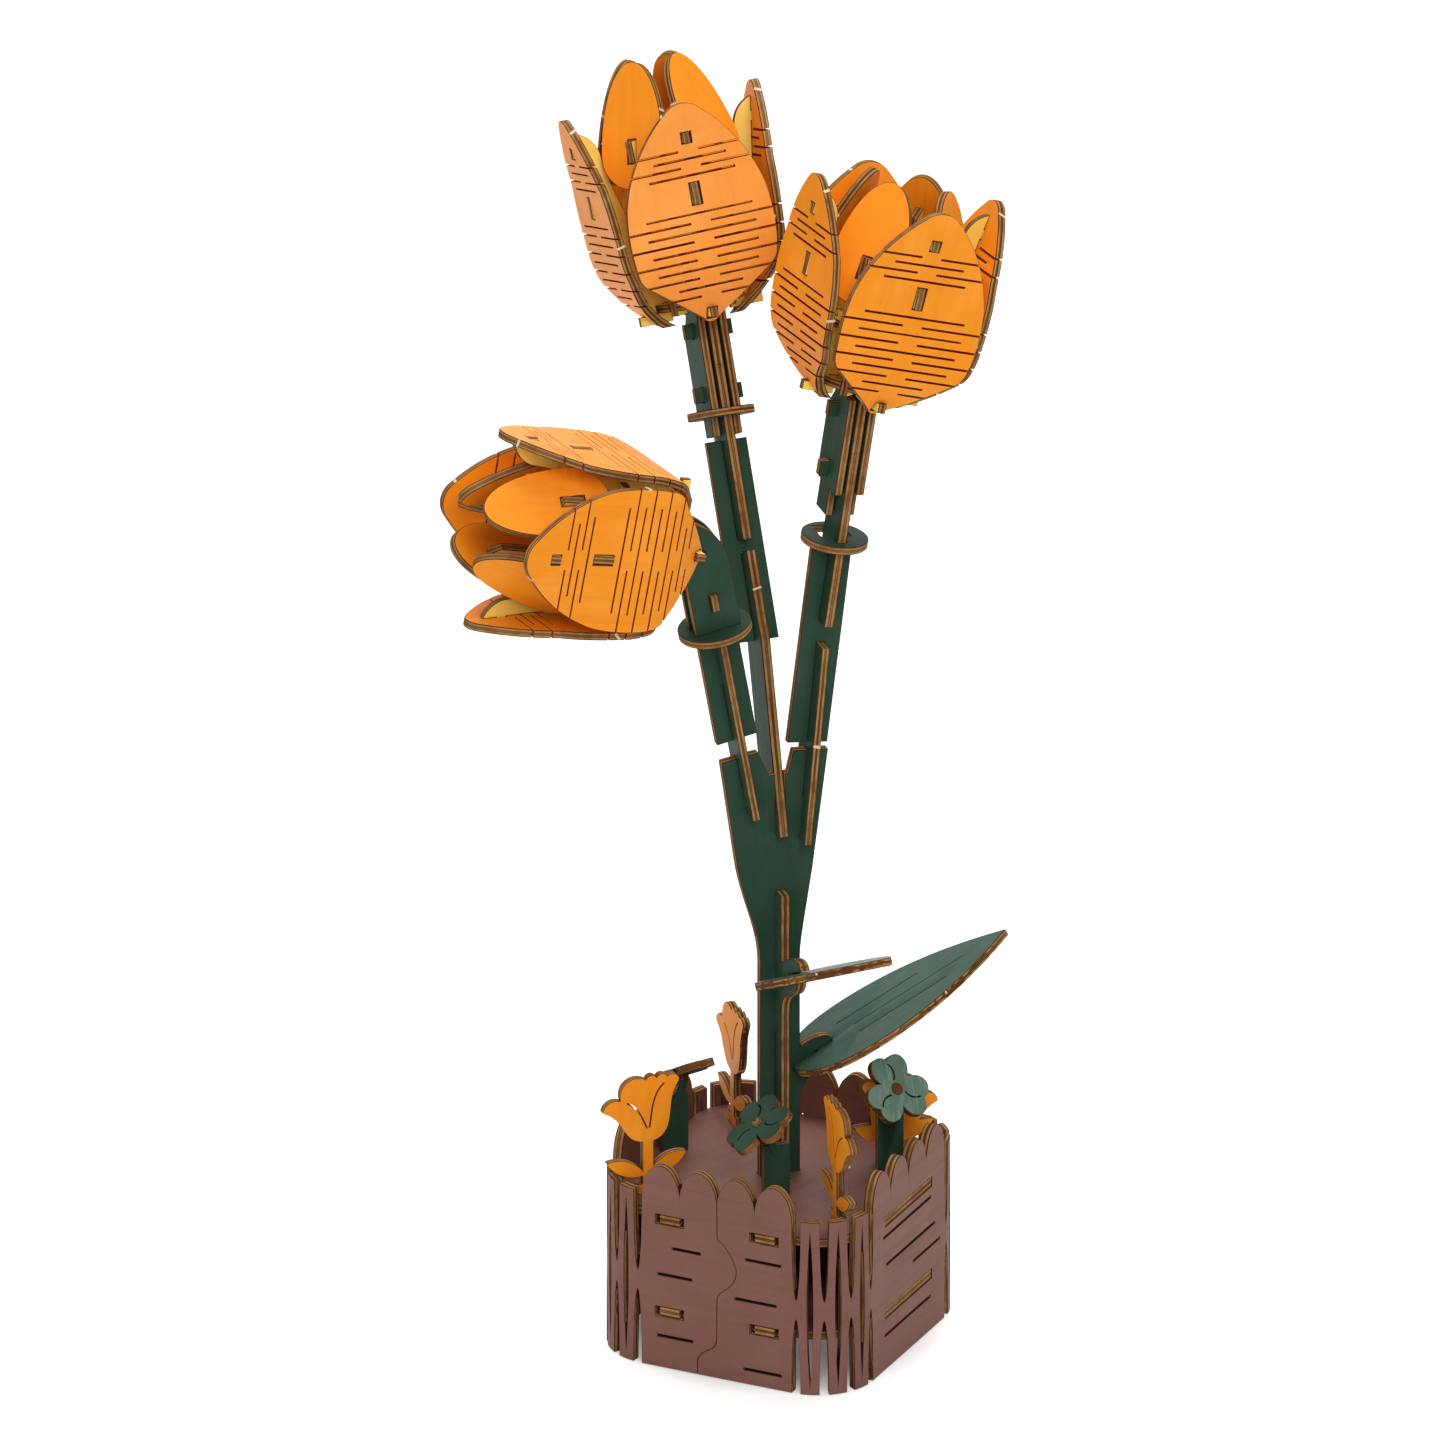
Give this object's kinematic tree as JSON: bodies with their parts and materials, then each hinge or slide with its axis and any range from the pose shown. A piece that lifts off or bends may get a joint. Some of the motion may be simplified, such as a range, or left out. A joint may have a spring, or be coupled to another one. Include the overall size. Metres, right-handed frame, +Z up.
{
  "type": "wooden tulip bouquet",
  "caption": "Laser-cut plywood bouquet: tulips with slit-bent petals on slotted plate stems, standing in a square planter with slatted living-hinge corners, flat flowers and clovers.",
  "frame": {"origin": "middle of the bounding box's footprint, at the height of the pot's underside", "axes": "+Z up, the longest extent; X along the main trunk plate, with the drooping bloom towards -X; the middle bloom leans towards +Y"},
  "size_m": [0.1746, 0.1876, 0.3746],
  "materials": {
    "orange_ply": "matt orange paint, burnt brown cut edges",
    "yellow_ply": "matt yellow paint, burnt brown cut edges",
    "green_ply": "matt dark green paint, burnt brown cut edges",
    "mauve_ply": "matt mauve-brown paint, burnt brown cut edges"
  },
  "bodies": {
    "bouquet": {"base_plate": "mauve_ply", "clover_back": "green_ply", "clover_front": "green_ply", "clover_right": "green_ply", "clover_stems": "green_ply", "cross_stem": "green_ply", "flower_back": "orange_ply", "flower_front": "orange_ply", "flower_left": "orange_ply", "flower_right": "orange_ply", "leaf_front": "green_ply", "leaf_right": "green_ply", "left_cheeks": "green_ply", "left_collar": "green_ply", "left_core": "green_ply", "left_hubs": "yellow_ply", "left_inner_petals": "orange_ply", "left_inner_ribs": "yellow_ply", "left_outer_ribs": "yellow_ply", "left_pegs": "green_ply", "left_petal_back": "orange_ply", "left_petal_bottom": "orange_ply", "left_petal_front": "orange_ply", "left_petal_top": "orange_ply", "left_rib": "green_ply", "main_stem": "green_ply", "mid_cheeks": "green_ply", "mid_core": "green_ply", "mid_flange": "green_ply", "mid_hubs": "yellow_ply", "mid_inner_petals": "orange_ply", "mid_inner_ribs": "yellow_ply", "mid_outer_ribs": "yellow_ply", "mid_pegs": "green_ply", "mid_petal_back": "orange_ply", "mid_petal_front": "orange_ply", "mid_petal_left": "orange_ply", "mid_petal_right": "orange_ply", "mid_rib": "green_ply", "mid_tongue": "green_ply", "pot_wall_left": "mauve_ply", "pot_wall_right": "mauve_ply", "right_cheeks": "green_ply", "right_core": "green_ply", "right_flange": "green_ply", "right_hubs": "yellow_ply", "right_inner_petals": "orange_ply", "right_inner_ribs": "yellow_ply", "right_outer_ribs": "yellow_ply", "right_pegs": "green_ply", "right_petal_back": "orange_ply", "right_petal_front": "orange_ply", "right_petal_left": "orange_ply", "right_petal_right": "orange_ply", "right_rib": "green_ply", "right_tongue": "green_ply", "soil_plate": "mauve_ply"},
    "right_lock_ring": {"right_collar": "green_ply"},
    "mid_lock_ring": {"mid_collar": "green_ply"}
  },
  "joints": [
    {"name": "right_ring_slide", "type": "slide", "parent": "bouquet", "child": "right_lock_ring", "axis": [0.1513, 0, 0.9885], "range_m": [0, 0.0148]},
    {"name": "mid_ring_slide", "type": "slide", "parent": "bouquet", "child": "mid_lock_ring", "axis": [0, 0.4772, 0.8788], "range_m": [-0.0064, 0]}
  ]
}
